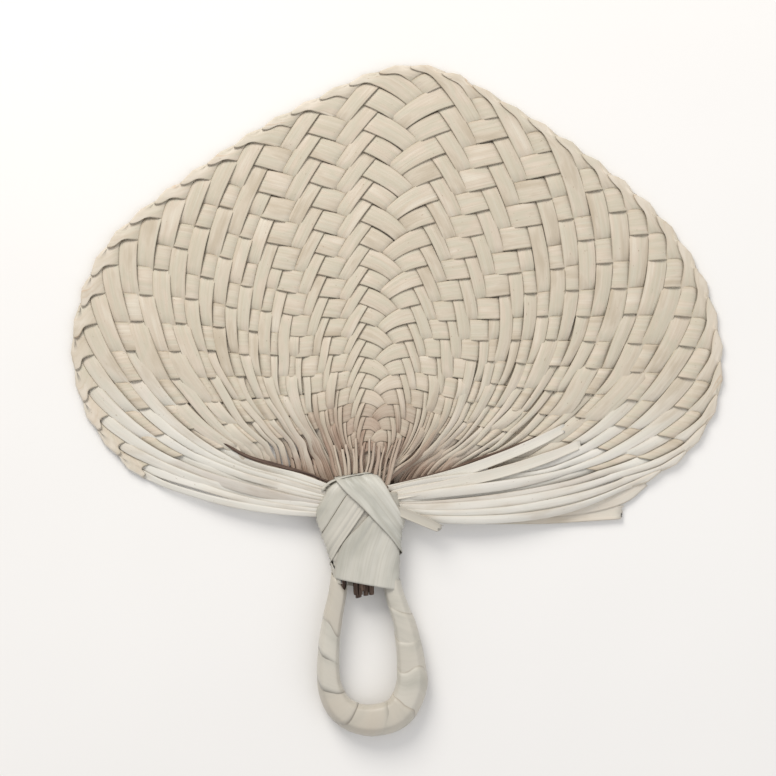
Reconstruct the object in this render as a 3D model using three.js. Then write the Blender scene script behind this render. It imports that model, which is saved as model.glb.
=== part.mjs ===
import * as THREE from 'three';

// A plaited palm-leaf hand fan with a looped handle. Millimetres.
// The fan lies on its back: +Y runs from the handle to the tip of the blade, +Z faces the viewer.
// The origin is the middle of the flat back of the collar band.

// Blade
const stripCount = 38;
const stripThickness = 0.5;
const crossingClearance = 0.4;
const neighbourGap = 0.9;
const largestGapShare = 0.26;
const foldBulge = 0.5;
const foldInset = 0.06;
const foldMargin = 0.1;
const chordTolerance = 0.45;
const slopeStep = 0.05;
const netCentre = new THREE.Vector2(3, 42);
const hiddenRows = 13;
const rowGrowth = 1.5;
const sideGrowth = 2.6;
const turnPower = 0.8;
const herringboneHalfWidth = 11;
const footHalfWidth = 8;
const footRows = 3;
const footFloat = 6;
const footShift = 2;
const neckHeight = 8;
const rimHeight = 0.75;
const droopPower = 1.3;

// Rim of the blade, from the lower left corner over the tip to the lower right corner
const rimPoints = [
  [-112, 40], [-131, 59], [-143, 83.5], [-145, 116], [-129, 155.5], [-89, 189.5], [-33, 224.5],
  [24.5, 245],
  [77, 222], [132, 183.5], [162, 149.5], [175.5, 113.5], [175, 78.5], [159, 51.5], [133, 35],
];

// Free ends of the strips: every second one runs to the collar, the others stop at the edge of the plait
const tipLength = 1.4;
const leadStart = 1.2;
const leadSpacing = 2;
const firstLead = 1;
const leadEndWidth = 4.4;
const leadSwell = 3.2;
const leadStartPull = 0.25;
const leadEndPull = 0.35;
const leadRollMargin = 1.9;
const steepestRollSine = 0.92;
const leadSteps = 6;
const entryHalfHeight = 13;
const firstEntryAngle = 9;
const lastEntryAngle = 100;
const lastSpokeAngle = 91;
const spokePower = 0.6;

// Collar: the crossed ribbons outside, then what they are wound on
const ribbonThickness = 0.6;
const ribbonClearance = 0.45;
const crossWrapWidth = 13;
const crossWrapHalfWidth = 21.5;
const crossWrapHalfHeight = 7.6;
const crossWrapSideY = 13;
const crossWrapEndY = 35;
const crossWrapEndAngle = 122;
const crossWrapRise = 1.6;
const crossWrapSteps = 26;
const crossWrapClearance = 0.8;
const crossWrapSlopeStep = 0.01;
const crossWrapStack = 2 * ribbonThickness + crossWrapClearance;
const entryInset = 0.5;
const entryCentre = new THREE.Vector2(-1.5, 24);
const entryHalfWidth = crossWrapHalfWidth - entryInset;
const bandInset = 1.5;
const bandTaper = 1;
const bandTop = { middle: -1, halfWidth: crossWrapHalfWidth - bandInset, y: 5.5, slope: 0 };
const bandBottom = { middle: 0, halfWidth: bandTop.halfWidth - bandTaper, y: -12.5, slope: -0.13 };
const bandHalfHeight = 8;
const bandSideSteps = 6;
const bandStack = 2 * ribbonThickness + ribbonClearance;
const crownHalfHeight = 6.4;
const crownStartY = 22;
const crownEndY = 42;
const neckSideTop = 12.5;
const neckFrontTop = 23.5;
const neckBottom = 5.9;
const neckMiddle = -1;
const neckSideClearance = 1.1;
const neckHalfWidth = crossWrapHalfWidth - crossWrapStack - neckSideClearance;
const neckHalfHeight = crossWrapHalfHeight - crossWrapStack - ribbonClearance;
const neckSeamAngle = 8;
const neckSteps = 20;
const stubHalfWidth = 4.6;
const stubBottom = -19.5;
const stubTop = 3.4;
const stalkBottom = 4.4;
const stalkSideClearance = 1.8;
const stalkBottomHalfWidth = neckHalfWidth - ribbonThickness - stalkSideClearance;
const stalkHalfHeight = neckHalfHeight - ribbonThickness - ribbonClearance;
const stalkSides = 16;
const stalkShares = [-0.5, 0, 0.4, 0.7, 0.9, 0.98];
const tailPath = [[13.5, 22, 14.4], [19.5, 20.2, 13.3], [27.5, 17.8, 12.6], [36.5, 15, 12.2]];
const tailWidth = 5.5;

// A loose strip that lies under the ends on the right and stops short of the rim
const loosePath = [[17, 23.9, 5.1], [36, 20.5, 3.7], [62, 20.1, 2.4], [94, 20.7, 1.2], [127, 22.4, 0.6]];
const looseWidths = [3, 5, 6.5, 7.5, 7];

// Handle loop: middle line, then half thickness in the plane of the loop and across it
const legClearance = 1;
const legHalfWidth = 4;
const legOffset = bandBottom.halfWidth - bandStack - legClearance - legHalfWidth;
const legSplay = 0.4;
const loopPath = [
  [-legOffset + legSplay, 3.6, 8], [-legOffset + legSplay, -3, 8], [-legOffset, -10, 8],
  [-13.6, -20, 7.9], [-17, -36, 7.6], [-18.6, -52, 7.4], [-17.3, -66, 7.3],
  [-10, -77, 7.2], [3, -80.5, 7.2], [16, -76.5, 7.2],
  [22.3, -64, 7.3], [22, -50, 7.4], [19.5, -34, 7.6], [15.6, -23.5, 7.9],
  [legOffset, -14.5, 8], [legOffset - legSplay, -5, 8], [legOffset - legSplay, 3.6, 8],
];
const loopHalfWidths = [legHalfWidth, 4.6, 4.8, 7, 6.6, 4.8, legHalfWidth];
const loopHalfHeights = [4, 4.6, 5, 5, 5, 4.6, 4];
const loopSteps = 28;
const loopSides = 10;
const wrapTurns = 9;
const wrapStepsPerTurn = 10;
const wrapPieces = 3;
const wrapClearance = 0.6;
const wrapCover = 0.9;
const wrapFirstShare = 0.072;
const wrapLastShare = 0.913;

// Fineness of the length tables of the curves
const curveDivisions = 1200;

// Colours
const strawTones = ['#d8cfbd', '#cfc8b6', '#ddd3c4'];
const ribbonTone = '#c4cac2';
const stalkTone = '#a58a6b';

function leaf(color, roughness) {
  return new THREE.MeshStandardMaterial({ color, roughness, metalness: 0 });
}

const straw = strawTones.map((tone) => leaf(tone, 0.72));
const ribbonLeaf = leaf(ribbonTone, 0.55);
const stalkLeaf = leaf(stalkTone, 0.8);

const group = new THREE.Group();
group.name = 'woven_hand_fan';
const layerHeight = (stripThickness + crossingClearance) / 2;
const lastStrip = stripCount - 1;

// Solids made of a row of rings

function signedVolume(corners, faces) {
  let total = 0;
  for (const [a, b, c] of faces) {
    total += corners[a].dot(corners[b].clone().cross(corners[c]));
  }
  return total / 6;
}

// Opposite sides of a ring are split along the same diagonal, so that a twisted strip keeps its thickness
function sweepRings(rings) {
  const size = rings[0].length;
  const corners = rings.flat();
  const faces = [];
  for (let r = 0; r + 1 < rings.length; r += 1) {
    for (let k = 0; k < size; k += 1) {
      const next = (k + 1) % size;
      const a = r * size + k;
      const b = r * size + next;
      if (2 * k < size) {
        faces.push([a, b, b + size], [a, b + size, a + size]);
      } else {
        faces.push([a, b, a + size], [b, b + size, a + size]);
      }
    }
  }
  const end = (rings.length - 1) * size;
  for (let k = 1; k + 1 < size; k += 1) {
    faces.push([0, k + 1, k], [end, end + k, end + k + 1]);
  }
  if (signedVolume(corners, faces) < 0) {
    faces.forEach((face) => face.reverse());
  }
  const geometry = new THREE.BufferGeometry().setFromPoints(corners);
  geometry.setIndex(faces.flat());
  const solid = geometry.toNonIndexed();
  solid.computeVertexNormals();
  return solid;
}

function addPiece(name, geometry, material) {
  const mesh = new THREE.Mesh(geometry, material);
  mesh.name = name;
  group.add(mesh);
}

// The net: u counts the strips that lean right, v those that lean left; the rim is u + v = stripCount

const rim = new THREE.SplineCurve(rimPoints.map(([x, y]) => new THREE.Vector2(x, y)));
rim.arcLengthDivisions = curveDivisions;
const rimLength = rim.getLength();

function rimPoint(share) {
  const inside = THREE.MathUtils.clamp(share, 0, 1);
  const beyond = (share - inside) * rimLength;
  return rim.getPointAt(inside).addScaledVector(rim.getTangentAt(inside), beyond);
}

function reachAt(u, v) {
  return (u + v + hiddenRows) / (stripCount + hiddenRows);
}

function netPoint(u, v) {
  const reach = reachAt(u, v);
  const turn = (v - u) / (reach ** turnPower * stripCount);
  const growth = rowGrowth + sideGrowth * turn * turn;
  return rimPoint((turn + 1) / 2).sub(netCentre).multiplyScalar(reach ** growth).add(netCentre);
}

function netHeight(u, v) {
  const inward = Math.max(0, 1 - reachAt(u, v));
  return rimHeight + (neckHeight - rimHeight) * inward ** droopPower;
}

// One set of strips runs along v, the other along u; 'along' and 'across' stand for the two

function setPoint(set, along, across) {
  return set === 'right' ? netPoint(across, along) : netPoint(along, across);
}

function setHeight(set, along, across) {
  return set === 'right' ? netHeight(across, along) : netHeight(along, across);
}

function setSlopes(set, along, across) {
  const forward = setPoint(set, along + slopeStep, across).sub(setPoint(set, along - slopeStep, across));
  const sideways = setPoint(set, along, across + slopeStep).sub(setPoint(set, along, across - slopeStep));
  return { forward: forward.divideScalar(2 * slopeStep), sideways: sideways.divideScalar(2 * slopeStep) };
}

// Half of the gap beside a strip, as a share of the strip: its own, and that of the strips it crosses
function halfGaps(set, along, across) {
  const { forward, sideways } = setSlopes(set, along, across);
  const area = Math.abs(forward.cross(sideways));
  const ownWidth = area / forward.length();
  const crossedWidth = area / sideways.length();
  return {
    own: Math.min(neighbourGap / ownWidth, largestGapShare) / 2,
    crossed: Math.min(neighbourGap / crossedWidth, largestGapShare) / 2,
    ownWidth,
  };
}

// Plait order: long floats along the foot at the sides, herringbone of two over two in the middle,
// two over one in lines along the rim at the sides, and the folded-back legs on top along the rim
function rightSetOver(u, v) {
  const offset = u - v;
  const fromRim = lastStrip - u - v;
  if (fromRim === 1) {
    return false;
  }
  if (Math.min(u, v) < footRows && Math.abs(offset) > footHalfWidth) {
    const dips = fromRim % footFloat === Math.min(u, v) * footShift;
    return offset > 0 ? !dips : dips;
  }
  if (offset > herringboneHalfWidth) {
    return (fromRim + 2) % 3 !== 0;
  }
  if (offset < -herringboneHalfWidth) {
    return (fromRim + 1) % 3 === 0;
  }
  if (offset === 0) {
    return u % 2 === 0;
  }
  return offset > 0 ? (offset - 1) % 4 >= 2 : (-offset - 1) % 4 < 2;
}

function layerOf(set, along, across) {
  const over = set === 'right' ? rightSetOver(across, along) : !rightSetOver(along, across);
  return over ? 1 : -1;
}

// A strip's cross-section: two edges, each with an upper and a lower corner
function flatSection(edges, layer) {
  const half = stripThickness / 2;
  const [near, far] = edges.map(({ point, height }) => {
    const middle = height + layer * layerHeight;
    return [middle + half, middle - half].map((z) => new THREE.Vector3(point.x, point.y, z));
  });
  return { near, far };
}

function edgeAt(set, along, across) {
  return { point: setPoint(set, along, across), height: setHeight(set, along, across) };
}

// The two edges of a strip where it enters or leaves the gap between two of the strips it crosses
function rowEdges(set, index, row, side) {
  return [0, 1].map((edge) => {
    const gaps = halfGaps(set, row, index + edge);
    return edgeAt(set, row + side * gaps.crossed, index + edge + (edge === 0 ? gaps.own : -gaps.own));
  });
}

function foldEdges(set, index) {
  return [0, 1].map((edge) => {
    const gaps = halfGaps(set, lastStrip - index, index + 0.5);
    const across = index + edge + (edge === 0 ? gaps.own : -gaps.own);
    return edgeAt(set, stripCount - foldInset - across, across);
  });
}

// Rows inside a straight run where the strip's curve strays from it
function curveEdges(set, index, run) {
  const found = [];
  for (let row = run.firstRow + 1; row < run.lastRow; row += 1) {
    const edges = rowEdges(set, index, Math.min(row, lastStrip - index - foldMargin), 0);
    const strays = edges.some(({ point }, edge) => {
      const chord = run.last[edge].point.clone().sub(run.first[edge].point).normalize();
      return Math.abs(chord.cross(point.clone().sub(run.first[edge].point))) > chordTolerance;
    });
    if (strays) {
      found.push(edges);
    }
  }
  return found;
}

// Sections of one leg of a strip, from the foot of the plait to the rim
function legSections(set, index) {
  const foldRow = lastStrip - index;
  const foldLayer = set === 'right' ? -1 : 1;
  const layers = Array.from({ length: foldRow }, (_, row) => layerOf(set, row, index));
  layers.push(foldLayer);
  const sections = [];
  let firstRow = 0;
  let first = rowEdges(set, index, 0, -1);
  const addRun = (last, lastRow) => {
    const stations = [first, ...curveEdges(set, index, { first, last, firstRow, lastRow }), last];
    sections.push(...stations.map((edges) => flatSection(edges, layers[firstRow])));
  };
  for (let row = 1; row <= foldRow; row += 1) {
    if (layers[row] !== layers[row - 1]) {
      addRun(rowEdges(set, index, row, -1), row);
      first = rowEdges(set, index, row, 1);
      firstRow = row;
    }
  }
  addRun(foldEdges(set, index), foldRow + 1);
  return { sections, firstLayer: layers[0] };
}

// Free ends

function leadCurve(set, position) {
  const { forward } = setSlopes(set, 0, position);
  const down = forward.clone().normalize().negate();
  const start = setPoint(set, 0, position).addScaledVector(down, leadStart);
  const share = position / stripCount;
  const side = set === 'right' ? -1 : 1;
  const directionAt = (lastAngle, part) => {
    const turn = THREE.MathUtils.degToRad(THREE.MathUtils.lerp(firstEntryAngle, lastAngle, part));
    return new THREE.Vector2(side * Math.sin(turn), Math.cos(turn));
  };
  const entryTurn = directionAt(lastEntryAngle, share);
  const entrySize = new THREE.Vector2(entryHalfWidth, entryHalfHeight);
  const entry = entryTurn.multiply(entrySize).add(entryCentre);
  const spoke = directionAt(lastSpokeAngle, share ** spokePower);
  const reach = entry.distanceTo(start);
  return new THREE.CubicBezierCurve(
    start,
    start.clone().addScaledVector(down, leadStartPull * reach),
    entry.clone().addScaledVector(spoke, leadEndPull * reach),
    entry,
  );
}

// Neighbouring ends close up towards the collar, so each is rolled a little to lie against the next
function leadSections(set, index, firstLayer) {
  const position = index + 0.5;
  const curve = leadCurve(set, position);
  const { ownWidth } = halfGaps(set, 0, position);
  const startWidth = ownWidth - Math.min(neighbourGap, ownWidth * largestGapShare);
  const startHeight = setHeight(set, 0, position) + firstLayer * layerHeight;
  const turn = set === 'right' ? 1 : -1;
  const sections = [];
  for (let step = 1; step <= leadSteps; step += 1) {
    const share = step / leadSteps;
    const middle = curve.getPoint(share);
    const tangent = curve.getTangent(share);
    const side = new THREE.Vector2(-tangent.y, tangent.x).multiplyScalar(turn);
    const next = leadCurve(set, position + leadSpacing / 2).getPoint(share);
    const previous = leadCurve(set, position - leadSpacing / 2).getPoint(share);
    const pitch = Math.abs(next.sub(previous).dot(side));
    const sine = Math.min((leadRollMargin * (stripThickness + crossingClearance)) / pitch, steepestRollSine);
    const cosine = Math.sqrt(1 - sine * sine);
    const swell = leadSwell * Math.sin(Math.PI * share);
    const halfWidth = (THREE.MathUtils.lerp(startWidth, leadEndWidth, share) + swell) / 2;
    const height = THREE.MathUtils.lerp(startHeight, neckHeight, share);
    const across = new THREE.Vector3(side.x * cosine, side.y * cosine, sine);
    const up = new THREE.Vector3(-side.x * sine, -side.y * sine, cosine);
    const corner = (edge, face) => new THREE.Vector3(middle.x, middle.y, height)
      .addScaledVector(across, edge * halfWidth)
      .addScaledVector(up, (face * stripThickness) / 2);
    sections.push({ near: [corner(1, 1), corner(1, -1)], far: [corner(-1, 1), corner(-1, -1)] });
  }
  return sections;
}

function tipSection(set, index, layer) {
  const edges = [0, 1].map((edge) => {
    const gaps = halfGaps(set, 0, index + edge);
    const { forward } = setSlopes(set, 0, index + edge);
    const along = -gaps.crossed - tipLength / forward.length();
    return edgeAt(set, along, index + edge + (edge === 0 ? gaps.own : -gaps.own));
  });
  return flatSection(edges, layer);
}

function freeEnd(set, index, firstLayer) {
  const hasLead = index % leadSpacing === firstLead;
  return hasLead ? leadSections(set, index, firstLayer) : [tipSection(set, index, firstLayer)];
}

// One strip: free end, right-leaning leg, fold over the rim, left-leaning leg, free end

function foldRing(rightEdges, leftEdges) {
  const outer = [];
  const inner = [];
  const middles = [0, 1].map((k) => ({
    point: rightEdges[k].point.clone().add(leftEdges[1 - k].point).multiplyScalar(0.5),
    height: rightEdges[k].height,
  }));
  const chord = middles[1].point.clone().sub(middles[0].point).normalize();
  const outward = new THREE.Vector2(chord.y, -chord.x);
  if (outward.dot(middles[0].point.clone().sub(netCentre)) < 0) {
    outward.negate();
  }
  for (const { point, height } of middles) {
    const at = (distance) => new THREE.Vector3(point.x, point.y, height).addScaledVector(
      new THREE.Vector3(outward.x, outward.y, 0),
      distance,
    );
    inner.push(at(foldBulge - stripThickness / 2));
    outer.push(at(foldBulge + stripThickness / 2));
  }
  return [inner[0], outer[0], outer[1], inner[1]];
}

function stripRings(index) {
  const partner = lastStrip - index;
  const right = legSections('right', index);
  const left = legSections('left', partner);
  const rightRun = [...freeEnd('right', index, right.firstLayer).reverse(), ...right.sections];
  const leftRun = [...left.sections.reverse(), ...freeEnd('left', partner, left.firstLayer)];
  const rings = rightRun.map(({ near, far }) => [near[0], near[1], far[1], far[0]]);
  rings.push(foldRing(foldEdges('right', index), foldEdges('left', partner)));
  for (const { near, far } of leftRun) {
    rings.push([far[1], far[0], near[0], near[1]]);
  }
  return rings;
}

for (let index = 0; index < stripCount; index += 1) {
  const label = String(index + 1).padStart(2, '0');
  addPiece(`leaf_strip_${label}`, sweepRings(stripRings(index)), straw[index % straw.length]);
}

// Stalk bundle in the collar: a stub between the legs of the loop, then the flat oval that the strips meet

function ovalRing(middle, y, halfWidth) {
  const ring = [];
  for (let k = 0; k < stalkSides; k += 1) {
    const turn = (2 * Math.PI * k) / stalkSides;
    const x = middle + halfWidth * Math.cos(turn);
    ring.push(new THREE.Vector3(x, y, neckHeight + stalkHalfHeight * Math.sin(turn)));
  }
  return ring;
}

const ovalHalfWidth = entryHalfWidth - ribbonClearance;
const ovalHalfHeight = entryHalfHeight - ribbonClearance;
const stalkRings = [
  ovalRing(0, stubBottom, stubHalfWidth),
  ovalRing(0, stubTop, stubHalfWidth),
  ovalRing(neckMiddle, stalkBottom, stalkBottomHalfWidth),
];
for (const share of stalkShares) {
  const halfWidth = ovalHalfWidth * Math.sqrt(1 - share * share);
  stalkRings.push(ovalRing(entryCentre.x, entryCentre.y + ovalHalfHeight * share, halfWidth));
}
addPiece('stalk_bundle', sweepRings(stalkRings), stalkLeaf);

// Collar band: a wide ribbon rolled one and a half times round the neck, flat at front and back
// A station is a place on the roll: the end of the flat, the turn round that end, the depth below the outside

function bandStations() {
  const stations = [];
  const layerStep = ribbonThickness + ribbonClearance;
  const flat = (side, end, depth) => stations.push({ flatEnd: end, turn: side * 90, depth });
  const round = (side, firstDepth, lastDepth) => {
    for (let k = 1; k < bandSideSteps; k += 1) {
      const share = k / bandSideSteps;
      const turn = side === 1 ? -90 + 180 * share : 90 + 180 * share;
      stations.push({ flatEnd: side, turn, depth: THREE.MathUtils.lerp(firstDepth, lastDepth, share) });
    }
  };
  flat(-1, 0, layerStep);
  flat(-1, 1, layerStep);
  round(1, layerStep, layerStep);
  flat(1, 1, layerStep);
  flat(1, -1, layerStep);
  round(-1, layerStep, 0);
  flat(-1, -1, 0);
  flat(-1, 1, 0);
  round(1, 0, 0);
  flat(1, 1, 0);
  flat(1, -1, 0);
  return stations;
}

function bandPoint(station, edge, depth) {
  const turn = THREE.MathUtils.degToRad(station.turn);
  const radius = bandHalfHeight - depth;
  const x = edge.middle + station.flatEnd * (edge.halfWidth - bandHalfHeight) + radius * Math.cos(turn);
  return new THREE.Vector3(x, edge.y + edge.slope * x, neckHeight + radius * Math.sin(turn));
}

const bandRings = bandStations().map((station) => {
  const faces = [station.depth, station.depth + ribbonThickness];
  return [
    bandPoint(station, bandTop, faces[0]),
    bandPoint(station, bandTop, faces[1]),
    bandPoint(station, bandBottom, faces[1]),
    bandPoint(station, bandBottom, faces[0]),
  ];
});
addPiece('collar_band', sweepRings(bandRings), ribbonLeaf);

// Neck binding: an inner ribbon, one turn round the stalk bundle, its ends apart at the back

function neckRings() {
  const rings = [];
  for (let step = 0; step <= neckSteps; step += 1) {
    const degrees = neckSeamAngle / 2 - 90 + ((360 - neckSeamAngle) * step) / neckSteps;
    const turn = THREE.MathUtils.degToRad(degrees);
    const top = neckSideTop + (neckFrontTop - neckSideTop) * Math.sin(turn) ** 2;
    const pointAt = (y, depth) => new THREE.Vector3(
      neckMiddle + (neckHalfWidth - depth) * Math.cos(turn),
      y,
      neckHeight + (neckHalfHeight - depth) * Math.sin(turn),
    );
    rings.push([
      pointAt(top, 0),
      pointAt(top, ribbonThickness),
      pointAt(neckBottom, ribbonThickness),
      pointAt(neckBottom, 0),
    ]);
  }
  return rings;
}

addPiece('neck_binding', sweepRings(neckRings()), ribbonLeaf);

// Two ribbons cross on the front and back of the crown, each turning round one side of the neck

function crownPoint(turn, y, depth) {
  const drop = THREE.MathUtils.smoothstep(y, crownStartY, crownEndY);
  const halfHeight = THREE.MathUtils.lerp(crossWrapHalfHeight, crownHalfHeight, drop) - depth;
  const x = (crossWrapHalfWidth - depth) * Math.cos(turn);
  return new THREE.Vector3(entryCentre.x + x, y, neckHeight + halfHeight * Math.sin(turn));
}

function crossWrapRings(side, depth) {
  const rings = [];
  const endTurn = THREE.MathUtils.degToRad(crossWrapEndAngle);
  const middleAt = (share) => {
    const turn = endTurn * (1 - 2 * share);
    const rise = Math.abs(1 - 2 * share) ** crossWrapRise;
    return { turn, y: THREE.MathUtils.lerp(crossWrapSideY, crossWrapEndY, rise) };
  };
  for (let step = 0; step <= crossWrapSteps; step += 1) {
    const share = step / crossWrapSteps;
    const { turn, y } = middleAt(share);
    const before = middleAt(Math.max(0, share - crossWrapSlopeStep));
    const after = middleAt(Math.min(1, share + crossWrapSlopeStep));
    const arcRadius = (crossWrapHalfWidth + crossWrapHalfHeight) / 2;
    const run = new THREE.Vector2((after.turn - before.turn) * arcRadius, after.y - before.y).normalize();
    const half = crossWrapWidth / 2;
    const ends = [1, -1].map((edge) => ({
      turn: turn + (edge * half * run.y) / arcRadius,
      y: y - edge * half * run.x,
    }));
    const corner = (end, face) => {
      const point = crownPoint(end.turn, end.y, depth + face * ribbonThickness);
      point.x = entryCentre.x + side * (point.x - entryCentre.x);
      return point;
    };
    rings.push([corner(ends[0], 0), corner(ends[0], 1), corner(ends[1], 1), corner(ends[1], 0)]);
  }
  return rings;
}

const underDepth = ribbonThickness + crossWrapClearance;
addPiece('cross_wrap_under', sweepRings(crossWrapRings(-1, underDepth)), ribbonLeaf);
addPiece('cross_wrap_over', sweepRings(crossWrapRings(1, 0)), ribbonLeaf);

// Flat pieces along a path: the loose tail of the binding and the loose strip

function pathRings(path, widthAt, thickness) {
  const points = path.map(([x, y, z]) => new THREE.Vector3(x, y, z));
  return points.map((point, k) => {
    const before = points[Math.max(k - 1, 0)];
    const after = points[Math.min(k + 1, points.length - 1)];
    const run = after.clone().sub(before).normalize();
    const side = new THREE.Vector3(-run.y, run.x, 0).normalize();
    const corner = (edge, face) => point.clone()
      .addScaledVector(side, (edge * widthAt(k)) / 2)
      .add(new THREE.Vector3(0, 0, (face * thickness) / 2));
    return [corner(1, 1), corner(1, -1), corner(-1, -1), corner(-1, 1)];
  });
}

addPiece('binding_tail', sweepRings(pathRings(tailPath, () => tailWidth, ribbonThickness)), ribbonLeaf);
addPiece('loose_strip', sweepRings(pathRings(loosePath, (k) => looseWidths[k], stripThickness)), straw[0]);

// Handle loop and the ribbon wound round it

const loop = new THREE.CatmullRomCurve3(loopPath.map(([x, y, z]) => new THREE.Vector3(x, y, z)));
loop.arcLengthDivisions = curveDivisions;

function valueAlong(values, share) {
  const place = share * (values.length - 1);
  const before = Math.min(Math.floor(place), values.length - 2);
  return THREE.MathUtils.lerp(values[before], values[before + 1], place - before);
}

function loopPoint(share, turn, offset) {
  const tangent = loop.getTangentAt(share);
  const side = new THREE.Vector3(-tangent.y, tangent.x, 0).normalize();
  const up = tangent.clone().cross(side).multiplyScalar(-1);
  return loop.getPointAt(share)
    .addScaledVector(side, (valueAlong(loopHalfWidths, share) + offset) * Math.cos(turn))
    .addScaledVector(up, (valueAlong(loopHalfHeights, share) + offset) * Math.sin(turn));
}

const coreRings = [];
for (let step = 0; step <= loopSteps; step += 1) {
  const ring = [];
  for (let k = 0; k < loopSides; k += 1) {
    ring.push(loopPoint(step / loopSteps, (2 * Math.PI * k) / loopSides, 0));
  }
  coreRings.push(ring);
}
addPiece('handle_core', sweepRings(coreRings), stalkLeaf);

const wrapSteps = wrapTurns * wrapStepsPerTurn;
const wrapPitch = (wrapLastShare - wrapFirstShare) / (wrapTurns + wrapCover);
const wrapRings = [];
for (let step = 0; step <= wrapSteps; step += 1) {
  const turn = (2 * Math.PI * step) / wrapStepsPerTurn;
  const first = wrapFirstShare + (wrapPitch * step) / wrapStepsPerTurn;
  const inside = [];
  const outside = [];
  for (let k = 0; k <= wrapPieces; k += 1) {
    const share = first + (wrapPitch * wrapCover * k) / wrapPieces;
    inside.unshift(loopPoint(share, turn, wrapClearance));
    outside.push(loopPoint(share, turn, wrapClearance + ribbonThickness));
  }
  wrapRings.push([...outside, ...inside]);
}
addPiece('handle_wrap', sweepRings(wrapRings), ribbonLeaf);

// Least gap between one turn of the wrap and the next
let leastGap = Infinity;
for (let step = 0; step + wrapStepsPerTurn <= wrapSteps; step += 1) {
  const here = wrapRings[step];
  const next = wrapRings[step + wrapStepsPerTurn];
  const outsideGap = here[wrapPieces].distanceTo(next[0]);
  const insideGap = here[wrapPieces + 1].distanceTo(next.at(-1));
  leastGap = Math.min(leastGap, outsideGap, insideGap);
}
console.log(`handle_wrap least gap between turns ${leastGap.toFixed(2)} mm`);

export default group;
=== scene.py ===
import math

import bpy
import numpy as np
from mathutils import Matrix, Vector


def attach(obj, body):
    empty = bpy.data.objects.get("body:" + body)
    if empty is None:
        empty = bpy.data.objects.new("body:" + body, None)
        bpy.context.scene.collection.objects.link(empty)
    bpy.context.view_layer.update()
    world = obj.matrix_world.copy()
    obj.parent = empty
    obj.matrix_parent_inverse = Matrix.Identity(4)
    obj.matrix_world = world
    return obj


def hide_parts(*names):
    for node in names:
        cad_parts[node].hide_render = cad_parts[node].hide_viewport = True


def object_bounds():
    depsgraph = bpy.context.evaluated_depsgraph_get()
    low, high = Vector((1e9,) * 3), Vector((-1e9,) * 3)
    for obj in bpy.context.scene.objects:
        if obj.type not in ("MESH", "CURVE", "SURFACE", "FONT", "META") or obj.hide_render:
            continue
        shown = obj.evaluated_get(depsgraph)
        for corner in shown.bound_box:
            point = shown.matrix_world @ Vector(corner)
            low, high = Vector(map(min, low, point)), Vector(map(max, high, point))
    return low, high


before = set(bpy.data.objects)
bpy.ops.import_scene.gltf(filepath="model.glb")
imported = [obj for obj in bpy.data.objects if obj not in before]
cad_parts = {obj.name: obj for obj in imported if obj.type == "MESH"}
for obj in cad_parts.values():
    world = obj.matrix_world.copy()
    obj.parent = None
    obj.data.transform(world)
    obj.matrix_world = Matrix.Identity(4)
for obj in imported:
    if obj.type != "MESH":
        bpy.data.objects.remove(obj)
scene = bpy.context.scene
cadLow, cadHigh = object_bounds()
mm = 0.001
join = np.concatenate
seeded = np.random.default_rng
stripDraw = seeded(36)


# Shader wiring

class Wire:  # a value socket that can be used in sums
    def __init__(self, finish, socket):
        self.finish = finish
        self.socket = socket

    def calc(self, operation, first, second):
        return self.finish.node("ShaderNodeMath", {"operation": operation}, {0: first, 1: second})

    def __add__(self, other):
        return self.calc("ADD", self, other)

    def __radd__(self, other):
        return self.calc("ADD", other, self)

    def __rsub__(self, other):
        return self.calc("SUBTRACT", other, self)

    def __mul__(self, other):
        return self.calc("MULTIPLY", self, other)

    def __abs__(self):
        return self.calc("ABSOLUTE", self, 0.0)


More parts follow.
